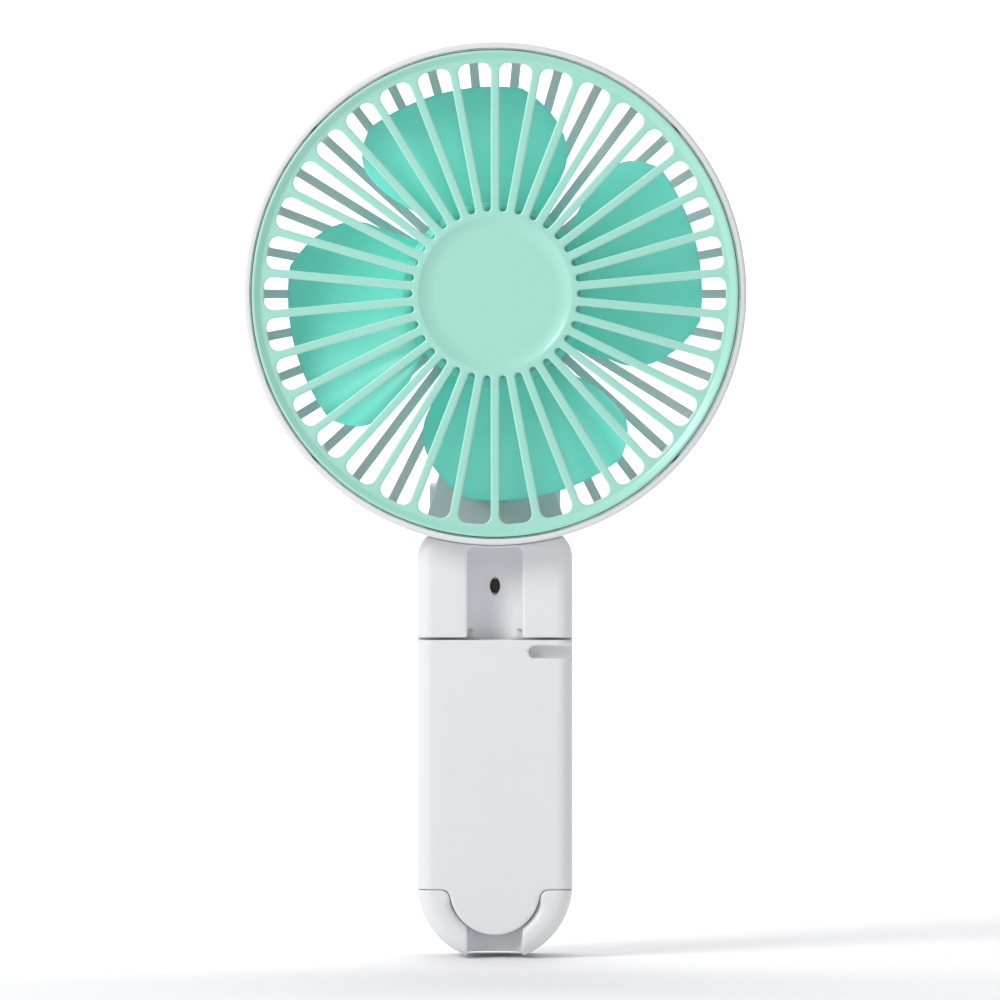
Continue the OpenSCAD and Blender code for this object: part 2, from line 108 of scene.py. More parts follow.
MOTOR_SEAT_R, CAP_R, SEAT_DEPTH = 14.0, 12.0, 1.6
HUB_R = 20.2
HUB_FRONT = -11.5
HUB_REAR = 4.0
TIP_R = 45.6
BLADES = 4

# ---------- sizes of the handle ----------

SADDLE_R = HEAD_R + 0.25
LIP_T = 0.5
EDGE_R = 3.5
CHANNEL_R = 6.05
CHANNEL_Y = FRONT + 1
EAR = (7.4, 14.5)
EAR_Y = 10.0
EAR_R = 3.25
LEG_BACK = LEG_HIGH[1]
LEG_RISE = LEG_HIGH[2] - LEG_AXIS_Z
SHOULDER_Z = 14.75
TONGUE_R = 9.95
GAP = 0.2
SPLIT_Y = 7.0
BOTTOM_Z = HALF_W - 1.11
TOP_Z, TOP_R = 93.6, 6
FLOOR_Z = 0.9
CAVITY_HALF, CAVITY_FRONT, CAVITY_BACK = 15.3, 0.7, BACK - 1.6
NECK_Z = 81.3
EYE_R, EYE_OFFSET = 2.48, 1.35
LUG_X, LUG_HALF, LUG_R = 5.25, 1.35, 1.9
FOLD_PIN_R, LEG_PIN_R = 1.2, 0.85
BUTTON_Z, LIGHT_Z, PORT_Y = 60, 71, 10.2
BUTTON_R = 4.5
SLOT_X, SLOT_Z, SLOT_R, SLOT_FLOOR = 8.7, 66.95, 1.325, -5.15
SCREWS = [(x, z) for x in (-11.5, 11.5) for z in (9.5, 78.0)]


# ---------- mesh helpers ----------


def grid_faces(rows, columns, wrap=False, start=0):
    """Quads of a grid of points, row by row; wrap joins the last column to the first."""
    faces = []
    for i in range(rows - 1):
        for j in range(columns if wrap else columns - 1):
            k = (j + 1) % columns
            faces.append((start + i * columns + j, start + i * columns + k,
                          start + (i + 1) * columns + k, start + (i + 1) * columns + j))
    return faces


def join_parts(parts):
    """One list of points and one of faces from several (points, faces) pairs."""
    points, faces = [], []
    for part_points, part_faces in parts:
        faces += [tuple(i + len(points) for i in face) for face in part_faces]
        points += [tuple(p) for p in part_points]
    return points, faces


def rounded(path, steps=5, closed=False):
    """A polyline of (x, y, radius) corners with each corner turned into an arc."""
    out = []
    for i, (x, y, radius) in enumerate(path):
        corner = np.array([x, y])
        if radius == 0 or (not closed and i in (0, len(path) - 1)):
            out.append(corner)
            continue
        back = np.array(path[i - 1][:2]) - corner
        ahead = np.array(path[(i + 1) % len(path)][:2]) - corner
        back, ahead = back / np.linalg.norm(back), ahead / np.linalg.norm(ahead)
        half = math.acos(np.clip(back @ ahead, -1, 1)) / 2
        middle = (back + ahead) / np.linalg.norm(back + ahead)
        centre = corner + middle * radius / math.sin(half)
        first = back * radius / math.tan(half) + corner - centre
        last = ahead * radius / math.tan(half) + corner - centre
        sweep = math.pi - 2 * half
        for k in range(steps + 1):
            t = k / steps
            arc = (math.sin((1 - t) * sweep) * first + math.sin(t * sweep) * last) / math.sin(sweep)
            out.append(centre + arc)
    return out


def lathe(profile, angles=None, count=136):
    """A turned surface from (radius, z) points, round the z axis."""
    if angles is None:
        angles = np.arange(count) * 2 * math.pi / count
    points = [(r * math.cos(a), r * math.sin(a), z) for r, z in profile for a in angles]
    return points, grid_faces(len(profile), len(angles), wrap=True)


def from_head(points):
    """Points from the head's axes to the row frame."""
    return [(x, z, HEAD_Z - y) for x, y, z in points]


def add_mesh(name, points, faces, body, material, node=None):
    """A closed smooth mesh that rides on a body and may stand for a CAD node."""
    mesh = bpy.data.meshes.new(name)
    mesh.from_pydata([tuple(float(c) * MM for c in p) for p in points], [], faces)
    work = bmesh.new()
    work.from_mesh(mesh)
    bmesh.ops.remove_doubles(work, verts=work.verts, dist=0.001 * MM)
    bmesh.ops.recalc_face_normals(work, faces=work.faces)
    work.to_mesh(mesh)
    work.free()
    mesh.polygons.foreach_set("use_smooth", [True] * len(mesh.polygons))
    piece = bpy.data.objects.new(name, mesh)
    bpy.context.scene.collection.objects.link(piece)
    weighted = piece.modifiers.new("normals", "WEIGHTED_NORMAL")
    weighted.weight = 80
    mesh.materials.append(MATERIALS[material])
    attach(piece, body)
    if node:
        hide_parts(node)
    return piece


# ---------- solids from distance fields ----------


def hypot(a, b):
    return np.sqrt(a * a + b * b)


def meet(a, b, r):
    """The part in both a and b, its new edge rounded to radius r."""
    return np.minimum(np.maximum(a, b), -r) + hypot(np.maximum(a + r, 0), np.maximum(b + r, 0))


def cut(a, b, r):
    """a without b, its new edge rounded to radius r."""
    return meet(a, -b, r)


def join(a, b, r):
    """a and b together, with a fillet of radius r in the corner between them."""
    return np.maximum(np.minimum(a, b), r) - hypot(np.maximum(r - a, 0), np.maximum(r - b, 0))


def box_2d(u, v, half_u, half_v, r):
    a, b = np.abs(u) - half_u + r, np.abs(v) - half_v + r
    return hypot(np.maximum(a, 0), np.maximum(b, 0)) + np.minimum(np.maximum(a, b), 0) - r


def thick(shape, depth, r):
    """A flat shape given a thickness: depth is the distance past its faces, r rounds its edges."""
    a, b = shape + r, depth + r
    return hypot(np.maximum(a, 0), np.maximum(b, 0)) + np.minimum(np.maximum(a, b), 0) - r


def slab(u, low, high):
    return np.abs(u - (low + high) / 2) - (high - low) / 2


def solid(field, low, high, step, merge=0.02):
    """The surface where field(x, y, z) is 0, as points and faces."""
    axes = [np.arange(lo - 3 * step, hi + 4 * step, step, dtype=np.float32) for lo, hi in zip(low, high)]
    x, y, z = axes[0][:, None, None], axes[1][None, :, None], axes[2][None, None, :]
    values = np.broadcast_to(field(x, y, z), [len(a) for a in axes])
    band = 3 * step
    volume = openvdb.FloatGrid(band)
    volume.copyFromArray(np.ascontiguousarray(np.clip(values, -band, band), dtype=np.float32))
    points, triangles, quads = volume.convertToPolygons(isovalue=0.0, adaptivity=merge)
    points = points * step + np.array([a[0] for a in axes])
    return points.tolist(), [tuple(f) for f in triangles.tolist()] + [tuple(f) for f in quads.tolist()]


# ---------- materials ----------

DRIFT_SCALE = 35
SPARK_SCALE = 2600
GLOSS_SPREAD = 0.06


def plastic(name, colour, roughness, grain=0.02, coat=0.0, translucent=0.0, edge=None):
    """Moulded plastic: fine spark texture, slow colour drift and uneven gloss.

    edge is a painted highlight: a lighter colour painted along the rounded edges, where the surface
    turns from its front face (along Y) to its sides.
    """
    material = bpy.data.materials.new(name)
    material.use_nodes = True
    nodes, links = material.node_tree.nodes, material.node_tree.links
    shader = nodes["Principled BSDF"]
    place = nodes.new("ShaderNodeTexCoord")
    drift = nodes.new("ShaderNodeTexNoise")
    drift.inputs["Scale"].default_value = DRIFT_SCALE
    drift.inputs["Detail"].default_value = 3
    shade = nodes.new("ShaderNodeMix")
    shade.data_type = "RGBA"
    shade.inputs["A"].default_value = (*[c * 0.985 for c in colour], 1)
    shade.inputs["B"].default_value = (*[min(1, c * 1.015) for c in colour], 1)
    spark = nodes.new("ShaderNodeTexNoise")
    spark.inputs["Scale"].default_value = SPARK_SCALE
    spark.inputs["Detail"].default_value = 4
    gloss = nodes.new("ShaderNodeMapRange")
    gloss.inputs["To Min"].default_value = roughness - GLOSS_SPREAD
    gloss.inputs["To Max"].default_value = roughness + GLOSS_SPREAD
    bump = nodes.new("ShaderNodeBump")
    bump.inputs["Strength"].default_value = 0.35
    bump.inputs["Distance"].default_value = grain * MM
    for texture in (drift, spark):
        links.new(place.outputs["Object"], texture.inputs["Vector"])
    links.new(drift.outputs["Fac"], shade.inputs["Factor"])
    links.new(shade.outputs["Result"], shader.inputs["Base Color"])
    # Painted highlight: the colour moves towards the lighter edge colour where the object-space normal leans
    # between the front (Y) and the sides, standing in for the light that rounded edges catch.
    if edge:
        split = nodes.new("ShaderNodeSeparateXYZ")
        facing = nodes.new("ShaderNodeMath")
        facing.operation = "ABSOLUTE"
        highlight_mask = nodes.new("ShaderNodeValToRGB")
        ramp = highlight_mask.color_ramp.elements
        for spot, level in ((0.1, 0), (0.35, 1), (0.65, 1), (0.79, 0)):
            stop = ramp.new(spot)
            stop.color = (level, level, level, 1)
        ramp[0].color = ramp[-1].color = (0, 0, 0, 1)
        highlight_mix = nodes.new("ShaderNodeMix")
        highlight_mix.data_type = "RGBA"
        highlight_mix.inputs["B"].default_value = (*edge, 1)
        links.new(place.outputs["Normal"], split.inputs["Vector"])
        links.new(split.outputs["Y"], facing.inputs[0])
        links.new(facing.outputs["Value"], highlight_mask.inputs["Fac"])
        links.new(highlight_mask.outputs["Color"], highlight_mix.inputs["Factor"])
        links.new(shade.outputs["Result"], highlight_mix.inputs["A"])
        links.new(highlight_mix.outputs["Result"], shader.inputs["Base Color"])
    links.new(drift.outputs["Fac"], gloss.inputs["Value"])
    links.new(gloss.outputs["Result"], shader.inputs["Roughness"])
    links.new(spark.outputs["Fac"], bump.inputs["Height"])
    links.new(bump.outputs["Normal"], shader.inputs["Normal"])
    shader.inputs["Coat Weight"].default_value = coat
    shader.inputs["Coat Roughness"].default_value = 0.12
    if translucent:
        shader.inputs["Subsurface Weight"].default_value = translucent
        shader.inputs["Subsurface Radius"].default_value = (0.4, 1.0, 0.8)
        shader.inputs["Subsurface Scale"].default_value = 1.5 * MM
    return material


def metal(name, colour, roughness, streak=(1, 1, 1), scale=900, depth=0.01):
    """Metal with brushing along the axis where streak is small, and scattered duller spots."""
    material = bpy.data.materials.new(name)
    material.use_nodes = True
    nodes, links = material.node_tree.nodes, material.node_tree.links
    shader = nodes["Principled BSDF"]
    shader.inputs["Metallic"].default_value = 1.0
    place = nodes.new("ShaderNodeTexCoord")
    stretch = nodes.new("ShaderNodeMapping")
    stretch.inputs["Scale"].default_value = streak
    lines = nodes.new("ShaderNodeTexNoise")
    lines.inputs["Scale"].default_value = scale
    lines.inputs["Detail"].default_value = 6
    gloss = nodes.new("ShaderNodeMapRange")
    gloss.inputs["To Min"].default_value = max(0.03, roughness - 0.1)
    gloss.inputs["To Max"].default_value = roughness + 0.1
    shade = nodes.new("ShaderNodeMix")
    shade.data_type = "RGBA"
    shade.inputs["A"].default_value = (*[c * 0.88 for c in colour], 1)
    shade.inputs["B"].default_value = (*colour, 1)
    bump = nodes.new("ShaderNodeBump")
    bump.inputs["Strength"].default_value = 0.3
    bump.inputs["Distance"].default_value = depth * MM
    links.new(place.outputs["Object"], stretch.inputs["Vector"])
    links.new(stretch.outputs["Vector"], lines.inputs["Vector"])
    links.new(lines.outputs["Fac"], gloss.inputs["Value"])
    links.new(gloss.outputs["Result"], shader.inputs["Roughness"])
    links.new(lines.outputs["Fac"], shade.inputs["Factor"])
    links.new(shade.outputs["Result"], shader.inputs["Base Color"])
    links.new(lines.outputs["Fac"], bump.inputs["Height"])
    links.new(bump.outputs["Normal"], shader.inputs["Normal"])
    return material


def frosted(name, colour):
    """Frosted light guide: half clear, with a faint green cast."""
    material = plastic(name, colour, 0.35, grain=0.03)
    material.node_tree.nodes["Principled BSDF"].inputs["Transmission Weight"].default_value = 0.5
    return material


MATERIALS = {
    "white_plastic": plastic("white_plastic", (0.77, 0.777, 0.8), 0.42, grain=0.02),
    # The mint plastic's edge colour is a painted highlight along the cage's rounded spoke and ring edges.
    "mint_plastic": plastic("mint_plastic", (0.365, 0.75, 0.63), 0.36, grain=0.015, coat=0.5,
                            edge=(0.72, 0.92, 0.86)),
    "aqua_plastic": plastic("aqua_plastic", (0.25, 0.93, 0.79), 0.34, grain=0.008, coat=0.1,
                            translucent=0.25),
    "button_plastic": plastic("button_plastic", (0.62, 0.64, 0.68), 0.36, grain=0.02),
    "grey_plastic": plastic("grey_plastic", (0.48, 0.49, 0.52), 0.5, grain=0.03),
    "dark_rubber": plastic("dark_rubber", (0.035, 0.036, 0.04), 0.75, grain=0.06),
    "circuit_board": plastic("circuit_board", (0.015, 0.12, 0.05), 0.35, grain=0.02, coat=0.3),
    "lead_black": plastic("lead_black", (0.02, 0.02, 0.022), 0.5, grain=0.02),
    "lead_red": plastic("lead_red", (0.4, 0.02, 0.015), 0.5, grain=0.02),
    "battery_wrap": plastic("battery_wrap", (0.06, 0.16, 0.42), 0.25, grain=0.02, coat=0.4),
    "light_lens": frosted("light_lens", (0.8, 0.9, 0.85)),
    "screw_steel": metal("screw_steel", (0.62, 0.63, 0.66), 0.32),
    "screw_black": metal("screw_black", (0.06, 0.055, 0.05), 0.4),
    "shaft_steel": metal("shaft_steel", (0.72, 0.73, 0.75), 0.16, streak=(0.1, 1, 1)),
    "motor_steel": metal("motor_steel", (0.5, 0.51, 0.53), 0.35, streak=(1, 0.2, 1)),
    "port_steel": metal("port_steel", (0.6, 0.61, 0.63), 0.28, streak=(1, 1, 0.2)),
    "brass": metal("brass", (0.68, 0.48, 0.18), 0.25, streak=(1, 0.2, 1)),
    "bearing_bronze": metal("bearing_bronze", (0.4, 0.24, 0.11), 0.5, scale=1500, depth=0.03),
    "copper_wire": metal("copper_wire", (0.62, 0.26, 0.12), 0.3, streak=(1, 6, 1)),
    "magnet_black": metal("magnet_black", (0.05, 0.05, 0.055), 0.55, scale=1500, depth=0.03),
}


# ---------- perforated discs ----------

INNER_STEPS = 10
SIDE_STEPS = 6
CORNER_STEPS = 4
OUTER_STEPS = 3


def opening(bar, r_in, r_out, corner, grow=0.0):
    """One opening between two radial bars, round at its inner end, as points about angle 0.

    grow moves the outline outwards. The points run from the inner end out along one side, across
    and back, always the same number of them.
    """
    half, w = PITCH / 2, bar / 2 - grow
    r_in, r_out, corner = r_in - grow, r_out + grow, corner + grow
    end_r = (r_in * math.sin(half) - w) / (1 - math.sin(half))
    side = half + math.pi / 2
    inner = [(r_in + end_r + end_r * math.cos(a), end_r * math.sin(a))
             for a in np.linspace(math.pi, side, INNER_STEPS // 2 + 1)]
    reach = r_out - corner
    turn = half - math.asin((corner + w) / reach)
    middle = np.array([reach * math.cos(turn), reach * math.sin(turn)])
    bend = [middle + corner * np.array([math.cos(a), math.sin(a)])
            for a in np.linspace(side, turn, CORNER_STEPS + 1)]
    straight = [np.array(inner[-1]) + (bend[0] - np.array(inner[-1])) * t
                for t in np.linspace(0, 1, SIDE_STEPS + 1)[1:-1]]
    across = [(r_out * math.cos(a), r_out * math.sin(a)) for a in np.linspace(turn, -turn, OUTER_STEPS + 1)]
    upper = [tuple(p) for p in inner + straight + bend]
    lower = [(x, -y) for x, y in reversed(upper)]
    return upper + across[1:-1] + lower[:-1], turn


def cell(bar, r_in, r_out, corner, r0, r1):
    """The sector's own edge, one point for each point of opening()."""
    outline, turn = opening(bar, r_in, r_out, corner)
    half = PITCH / 2
    n = INNER_STEPS // 2
    polar = [(r0, half * i / n) for i in range(n + 1)]
    polar += [(math.hypot(*outline[n + i]), half) for i in range(1, SIDE_STEPS)]
    side_end = math.hypot(*outline[n + SIDE_STEPS])
    polar += [(side_end, half), ((side_end + r1) / 2, half)]
    polar += [(r1, half), (r1, (half + turn) / 2), (r1, turn)]
    across = [(r1, a) for a in np.linspace(turn, -turn, OUTER_STEPS + 1)[1:-1]]
    loop = polar + across + [(r, -a) for r, a in reversed(polar)][:-1]
    inner_angles = [half * i / n for i in range(-n, n)]
    ends = [half, (half + turn) / 2, turn]
    outer_angles = [-a for a in ends] + [-a for _, a in across] + ends[:0:-1]
    return loop, inner_angles, outer_angles


def perforated(phase, bar, r_in, r_out, corner, r0, r1, front, back, edge):
    """A ring of openings, one in each sector, between radii r0 and r1.

    front(r) and back(r) are the z of its faces, and edge rounds the openings' rims. Returns its
    parts and the angles of its two edges.
    """
    loop, inner_angles, outer_angles = cell(bar, r_in, r_out, corner, r0, r1)
    parts = []
    for k in range(SPOKES):
        rows = [[(r * math.cos(a), r * math.sin(a), front(r)) for r, a in loop]]
        rows += opening_rim(bar, r_in, r_out, corner, front, edge, 1)
        rows += opening_rim(bar, r_in, r_out, corner, back, edge, -1)[::-1]
        rows.append([(r * math.cos(a), r * math.sin(a), back(r)) for r, a in loop])
        c, s = math.cos(phase + k * PITCH), math.sin(phase + k * PITCH)
        points = [(x * c - y * s, x * s + y * c, z) for row in rows for x, y, z in row]
        parts.append((points, grid_faces(len(rows), len(loop), wrap=True)))
    starts = [phase + k * PITCH for k in range(SPOKES)]
    inner_edge = [b + a for b in starts for a in inner_angles]
    outer_edge = [b + a for b in starts for a in outer_angles]
    return parts, inner_edge, outer_edge


def opening_rim(bar, r_in, r_out, corner, face, edge, sign):
    """Rows of points round an opening, from its face into its wall over a quarter round."""
    rows = []
    for t in np.linspace(0, math.pi / 2, 4):
        grow, sink = edge * (1 - math.sin(t)), edge * (1 - math.cos(t))
        outline, _ = opening(bar, r_in, r_out, corner, grow)
        rows.append([(x, y, face(math.hypot(x, y)) + sign * sink) for x, y in outline])
    return rows


# ---------- head ----------


def front_grille():
    """Mint cage: a sunk centre disc, flat spokes with rounded edges and a raised outer ring."""
    top, under = SPOKE_FRONT, SPOKE_BACK
    r0, r1 = 17.4, 51.0
    parts, inner, outer = perforated(
        phase=DOWN + PITCH / 2, bar=SPOKE_W, r_in=OPENING_IN, r_out=OPENING_OUT, corner=1.9,
        r0=r0, r1=r1, front=lambda r: top, back=lambda r: under, edge=0.36)
    step_in, step_out, sunk = DISC_STEP
    dish = [(step_in + (step_out - step_in) * t, top + sunk * (1 - t * t))
            for t in np.linspace(0.95, 0, 14)]
    disc = rounded([(r0, top, 0), (step_out + 0.1, top, 0.3), (*dish[0], 0)]) + dish[1:] + [(0, top + sunk)]
    edge, step, flange = GRILLE_R - 0.3, HEAD_FRONT + 2.6, HEAD_FRONT + 3.2
    ring = rounded([(r1, top, 0), (51.4, top - 0.1, 1.2), (52.6, HEAD_FRONT, 0.3), (edge, HEAD_FRONT, 0.28),
                    (edge, step, 0.1), (GRILLE_R, step, 0.1), (GRILLE_R, flange, 0.1), (edge, flange, 0),
                    (edge, SKIRT_END, 0.2), (edge - 1, SKIRT_END, 0.2), (edge - 1, under, 0),
                    (r1, under, 0)])
    parts += [lathe(disc, inner), lathe([(r0, under), (9, under), (0, under)], inner), lathe(ring, outer)]
    points, faces = join_parts(parts)
    add_mesh("front_grille", from_head(points), faces, "head", "mint_plastic", "front_grille")


def rim_screw_places():
    """The direction and centre of each of the four screws, midway between two front spokes."""
    for side in (-3, -1, 1, 3):
        angle = DOWN + (round(side * SPOKES / 8 - 0.5) + 0.5) * PITCH
        way = np.array([math.cos(angle), math.sin(angle)])
        yield way, RIM_SCREW_R * way


def rim_ring():
    """White band round the head, with the four posts that the screws pass through."""
    inner = HEAD_R - HOUSING_WALL
    band = rounded([(inner, RIM_FRONT, 0.12), (HEAD_R, RIM_FRONT, 0.75),
                    (HEAD_R, SEAM, 0.3), (inner, SEAM, 0.1)], closed=True)
    parts = [lathe(band + band[:1], count=360)]
    low, high = SKIRT_END + 0.1, SEAM - 1
    post = [(SHANK_R, low), (POST_R, low), (POST_R, high), (SHANK_R, high), (SHANK_R, low)]
    for way, (x, y) in rim_screw_places():
        points, faces = lathe(post, count=24)
        parts.append(([(px + x, py + y, pz) for px, py, pz in points], faces))
        across = np.array([-way[1], way[0]]) * 0.7
        rib = [way * r + across * side for r, side in ((53.2, -1), (54.2, -1), (54.2, 1), (53.2, 1))]
        points = [(*p, z) for z in (low, high) for p in rib]
        parts.append((points, grid_faces(2, 4, wrap=True) + [(0, 1, 2, 3), (4, 5, 6, 7)]))
    points, faces = join_parts(parts)
    add_mesh("rim_ring", from_head(points), faces, "head", "white_plastic", "rim_ring")


def rear_housing():
    """White rear cage with its round corner, motor seat, solid pad and screw seats."""
    rear, front = HEAD_REAR, HEAD_REAR - REAR_T

    def field(x, y, z):
        # Row axes: x right, y to the rear, z up.
        down = HEAD_Z - z
        r = hypot(x, down)
        angle = np.arctan2(down, x) - DOWN - PITCH / 2
        nearest = (angle + PITCH / 2) % PITCH - PITCH / 2
        from_spoke = np.abs(r * np.sin(nearest)) - REAR_SPOKE_W / 2
        hole = meet(meet(-from_spoke, r - REAR_OUT, 0.5), REAR_IN - r, 0.8)
        pad = np.maximum(np.abs(np.arctan2(x, down)) * r - PAD_HALF * r, PAD_R - r)
        hole = meet(hole, -pad, 0.8)
        plate = thick(r - FLANGE_R - 0.2, slab(y, front, rear), 0.1)
        plate = cut(plate, hole, 0.4)
        corner = hypot(np.maximum(r - FLANGE_R, 0), np.maximum(y - SEAM, 0))
        shell = np.abs(corner - (REAR_CORNER - HOUSING_WALL / 2)) - HOUSING_WALL / 2
        shell = np.maximum(shell, FLANGE_R - r)
        shell = meet(shell, SEAM + 0.1 - y, 0.3)
        spigot = np.maximum(slab(r, SPIGOT_R - 1, SPIGOT_R), slab(y, SEAM - 0.9, SEAM + 1.8))
        posts = np.minimum.reduce([hypot(x - px, down - py) for _, (px, py) in rim_screw_places()])
        post = np.maximum(np.maximum(posts - 1.55, slab(y, SEAM - 0.8, SEAM + 3)), r - SPIGOT_R)
        body = np.minimum(np.minimum(join(plate, shell, 0.4), spigot), post)
        seat = np.maximum(r - MOTOR_SEAT_R, slab(y, rear - 3.4, rear - 1))
        body = np.minimum(body, seat)
        body = cut(body, np.maximum(r - (CAP_R + 0.1), rear - SEAT_DEPTH - y), 0.3)
        body = np.maximum(body, 3.1 - r)
        body = cut(body, np.maximum(posts - 1.35, RIM_SEAT - y), 0.1)
        return np.maximum(np.maximum(body, SHANK_R - posts), y - rear)

    points, faces = solid(field, (-HEAD_R, SEAM - 1.2, HEAD_Z - HEAD_R), (HEAD_R, rear, HEAD_Z + HEAD_R),
                          0.25)
    add_mesh("rear_housing", points, faces, "head", "white_plastic", "rear_housing")


def motor_cap():
    """White cap on the motor seat, with a shallow dished middle."""
    rear = HEAD_REAR
    face, dish = rear - 0.02, rear - 0.3
    profile = rounded([(0, dish, 0), (8.6, dish, 1.5), (9.4, face, 1), (CAP_R, face, 0.5),
                       (CAP_R, rear - SEAT_DEPTH, 0), (CAP_R - 1, rear - SEAT_DEPTH, 0),
                       (CAP_R - 1, rear - 1, 0), (0, rear - 1, 0)])
    points, faces = lathe(profile)
    add_mesh("motor_cap", from_head(points), faces, "head", "white_plastic", "motor_cap")


def hinge_block():
    """White knuckle that joins the head to the handle's ears."""
    low, high = node_box("hinge_block")

    def field(x, y, z):
        round_back = hypot(np.maximum(y - FOLD_Y, 0), z - FOLD_Z) - EAR_R
        section = np.maximum(round_back, low[1] - y)
        knuckle = thick(section, np.abs(x) - high[0], 0.6)
        return cut(knuckle, hypot(y - FOLD_Y, z - FOLD_Z) - (FOLD_PIN_R + 0.05), 0.15)

    points, faces = solid(field, low, high, 0.2, 0.01)
    add_mesh("hinge_block", points, faces, "head", "white_plastic", "hinge_block")


# ---------- impeller ----------

BULGE_R = 33.5
RAKE_R = 28.6
BLADE_Z = -3.6
CAMBER = 1.1


def bulge(r):
    """Angle of a blade's front edge at radius r, in degrees."""
    if r > BULGE_R:
        return 42.3 + 10.7 * ((r - BULGE_R) / (TIP_R - BULGE_R)) ** 3
    return 42.3 + 9 * ((BULGE_R - r) / 14) ** 2


def rake(r):
    """Angle of a blade's rear edge at radius r, in degrees."""
    if r < RAKE_R:
        return 119.7 + 5.3 * (RAKE_R - r) / 8.3
    return 119.7 - 22.1 * ((r - RAKE_R) / (TIP_R - RAKE_R)) ** 2.2


def blade(turn):
    """One twisted, cambered blade, thin and round at its edges."""
    radii = np.append(np.linspace(HUB_R - 0.8, TIP_R - 0.4, 22), [TIP_R - 0.1, TIP_R])
    chord = (1 - np.cos(np.linspace(0, math.pi, 25))) / 2
    rows = []
    for r in radii:
        out = (r - HUB_R) / (TIP_R - HUB_R)
        rise = 6.9 - 0.6 * out - 1.9 * out ** 3
        half = 0.62 - 0.12 * out
        if r > TIP_R - 0.3:
            half *= 0.75 if r < TIP_R else 0.35
        loop = []
        for side, steps in ((-1, chord), (1, chord[-2:0:-1])):
            for s in steps:
                angle = math.radians(bulge(r) + (rake(r) - bulge(r)) * s + turn)
                body = half * (1 - abs(2 * s - 1) ** 6) ** 0.5
                z = BLADE_Z + rise * (2 * s - 1) + CAMBER * (1 - (2 * s - 1) ** 2) + side * body
                loop.append((r * math.cos(angle), r * math.sin(angle), z))
        rows.append(loop)
    points = [p for row in rows for p in row]
    width = len(rows[0])
    faces = grid_faces(len(rows), width, wrap=True)
    ladder = len(chord)
    for start in (0, (len(rows) - 1) * width):
        upper = list(range(ladder))
        lower = [0] + list(range(width - 1, ladder - 1, -1)) + [ladder - 1]
        for i in range(ladder - 1):
            quad = [upper[i], upper[i + 1], lower[i + 1], lower[i]]
            faces.append(tuple(start + j for j in dict.fromkeys(quad)))
    return points, faces


def impeller():
    """Aqua impeller: a cup over the motor and four overlapping blades."""
    shaft, cup, floor_z = 1, HUB_R - 1.4, HUB_FRONT + 1.6
    collar_in, collar_out, collar_end = 13, 14.6, -2
    profile = rounded([(shaft, HUB_FRONT, 0), (cup, HUB_FRONT, 0.8), (HUB_R, HUB_FRONT + 1.4, 0.8),
                       (HUB_R, HUB_REAR, 0.3), (cup, HUB_REAR, 0.3), (cup, HUB_FRONT + 2.9, 0.8),
                       (collar_out, floor_z, 0), (collar_out, collar_end, 0.3),
                       (collar_in, collar_end, 0.3), (collar_in, floor_z, 0),
                       (shaft, floor_z, 0), (shaft, HUB_FRONT, 0)])
    parts = [lathe(profile)] + [blade(360 / BLADES * k) for k in range(BLADES)]
    points, faces = join_parts(parts)
    add_mesh("impeller", from_head(points), faces, "rotor", "aqua_plastic", "impeller")


# ---------- handle ----------


def face_outline(x, z):
    """The handle's outline from the front: a round bottom and rounded top corners."""
    a, b = np.abs(x) - HALF_W + TOP_R, z - TOP_Z + TOP_R
    top = hypot(np.maximum(a, 0), np.maximum(b, 0)) + np.minimum(np.maximum(a, b), 0) - TOP_R
    return np.where(z < BOTTOM_Z, hypot(x, z - BOTTOM_Z) - HALF_W, top)


def leg_outline(x, z, gap):
    """The leg from the front, with no sides: straight shoulders and a round tongue below."""
    plate = slab(z, SHOULDER_Z, LEG_HIGH[2]) - min(gap, GAP)
    tongue = hypot(x, z - SHOULDER_Z) - TONGUE_R - gap
    return join(plate, tongue, 1.8)


def cavity(x, y, z):
    """The hollow that holds the cell and the board."""
    middle, half = (CAVITY_FRONT + CAVITY_BACK) / 2, (CAVITY_BACK - CAVITY_FRONT) / 2
    walls = box_2d(x, y - middle, CAVITY_HALF, half, 1.75)
    return np.maximum(walls, slab(z, 4, 82))


def screw_bosses(x, z):
    """Distance from the nearest cover screw's axis."""
    return np.minimum.reduce([hypot(x - sx, z - sz) for sx, sz in SCREWS])


def cut_leg_room(body, x, y, z):
    """The body without the room that the leg fills when closed and sweeps as it swings."""
    softness = 0.2 + 2.0 * np.clip((13.6 - z) / 2.5, 0, 1)
    room = np.maximum(leg_outline(x, z, 0.12), y - LEG_BACK - GAP)
    body = cut(body, room, softness)
    from_axis = hypot(y - LEG_AXIS_Y, z - LEG_AXIS_Z)
    body = cut(body, from_axis - hypot(LEG_BACK - LEG_AXIS_Y, LEG_RISE) - GAP, 0.1)
    round_x = np.minimum(np.maximum(np.abs(x) - HALF_W + EDGE_R, 0), EDGE_R)
    leg_front = FRONT + EDGE_R - np.sqrt(EDGE_R ** 2 - round_x ** 2)
    sweep = from_axis - hypot(leg_front - LEG_AXIS_Y, LEG_RISE) - 0.1
    return cut(body, np.maximum(sweep, y + 3.0), 0.25)


def cut_channel(body, x, y, z, rim):
    """The body without its round-floored channel, which ends in a lip below the rim."""
    channel = hypot(x, np.maximum(y - CHANNEL_Y, 0)) - CHANNEL_R
    body = cut(body, meet(channel, SADDLE_R + LIP_T - rim, 1.6), 0.35)
    behind = np.minimum(np.abs(x) - CHANNEL_R, CHANNEL_Y + CHANNEL_R - y)
    return cut(body, np.maximum(behind, z - FLOOR_Z), 0.25)


def ears(x, y, z):
    """The two ears that hold the fold pin."""
    side, half = sum(EAR) / 2, (EAR[1] - EAR[0]) / 2
    ear = hypot(y - FOLD_Y, np.maximum(z - FOLD_Z, 0)) - EAR_R
    return thick(np.maximum(ear, COVER_TOP + 1 - z), np.abs(np.abs(x) - side) - half, 0.7)


